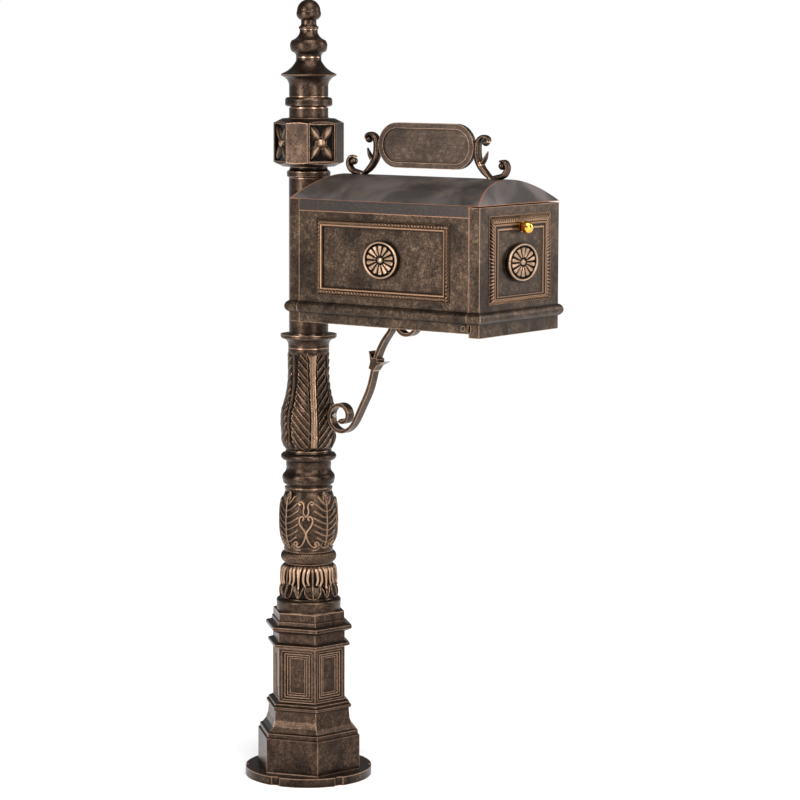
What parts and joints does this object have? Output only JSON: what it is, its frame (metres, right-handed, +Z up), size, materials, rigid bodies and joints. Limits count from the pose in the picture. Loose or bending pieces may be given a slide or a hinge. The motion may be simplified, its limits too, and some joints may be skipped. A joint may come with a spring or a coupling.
{
  "type": "post-mounted letter box",
  "caption": "Ornate cast post on a hexagonal pedestal carrying a barrel-roofed letter box with a drop-down front door, a name plate on scrolls and a signal flag.",
  "frame": {"origin": "centre of the anchor circle on the underside of the base flange, on the post's axis", "axes": "+Z up along the post; -Y out in front, the way the letter box stands out and its door faces; +X to the right of someone facing the door"},
  "size_m": [0.3188, 0.7458, 1.75],
  "materials": {
    "post_bronze": "satin",
    "tube_bronze": "satin",
    "box_bronze": "satin",
    "roof_bronze": "satin",
    "trim_bronze": "satin",
    "plate_bronze": "satin",
    "knob_brass": "polished",
    "steel": "satin",
    "magnet": "matte",
    "flag_red": "satin"
  },
  "bodies": {
    "stand": {"base_flange": "post_bronze", "pedestal_foot": "post_bronze", "pedestal_shaft": "post_bronze", "pedestal_cornice": "post_bronze", "plinth_disc": "post_bronze", "leaf_cup": "post_bronze", "rope_ring": "post_bronze", "scroll_drum": "post_bronze", "bell_collar": "post_bronze", "leaf_baluster": "post_bronze", "column_cap": "post_bronze", "post_collar": "post_bronze", "flower_block": "post_bronze", "block_flowers": "post_bronze", "neck_band": "post_bronze", "ring_band": "post_bronze", "finial_disc": "post_bronze", "finial_bead": "post_bronze", "finial_ball": "post_bronze", "scroll_bracket": "post_bronze", "bracket_leaf": "post_bronze", "post_tube": "tube_bronze", "box_floor": "box_bronze", "left_side": "box_bronze", "right_side": "box_bronze", "rear_wall": "box_bronze", "door_header": "box_bronze", "mounting_saddles": "box_bronze", "box_roof": "roof_bronze", "left_border": "trim_bronze", "right_border": "trim_bronze", "left_rosette": "trim_bronze", "right_rosette": "trim_bronze", "front_scroll": "trim_bronze", "rear_scroll": "trim_bronze", "flag_bush": "trim_bronze", "name_plate": "plate_bronze", "tie_rod": "steel", "tie_rod_nut": "steel", "saddle_bolts": "steel", "bracket_screws": "steel", "hinge_pins": "steel", "flag_pivot_screw": "steel", "catch_magnet": "magnet"},
    "door": {"door_shell": "box_bronze", "door_border": "trim_bronze", "door_rosette": "trim_bronze", "door_knob": "knob_brass", "knob_screw": "steel", "strike_plate": "steel"},
    "flag": {"signal_flag": "flag_red"}
  },
  "joints": [
    {"name": "door_hinge", "type": "hinge", "parent": "stand", "child": "door", "pos_m": [0, -0.531, 1.061], "axis": [1, 0, 0], "range_deg": [0, 90]},
    {"name": "flag_pivot", "type": "hinge", "parent": "stand", "child": "flag", "pos_m": [0.1555, -0.519, 1.252], "axis": [1, 0, 0], "range_deg": [0, 90]}
  ]
}
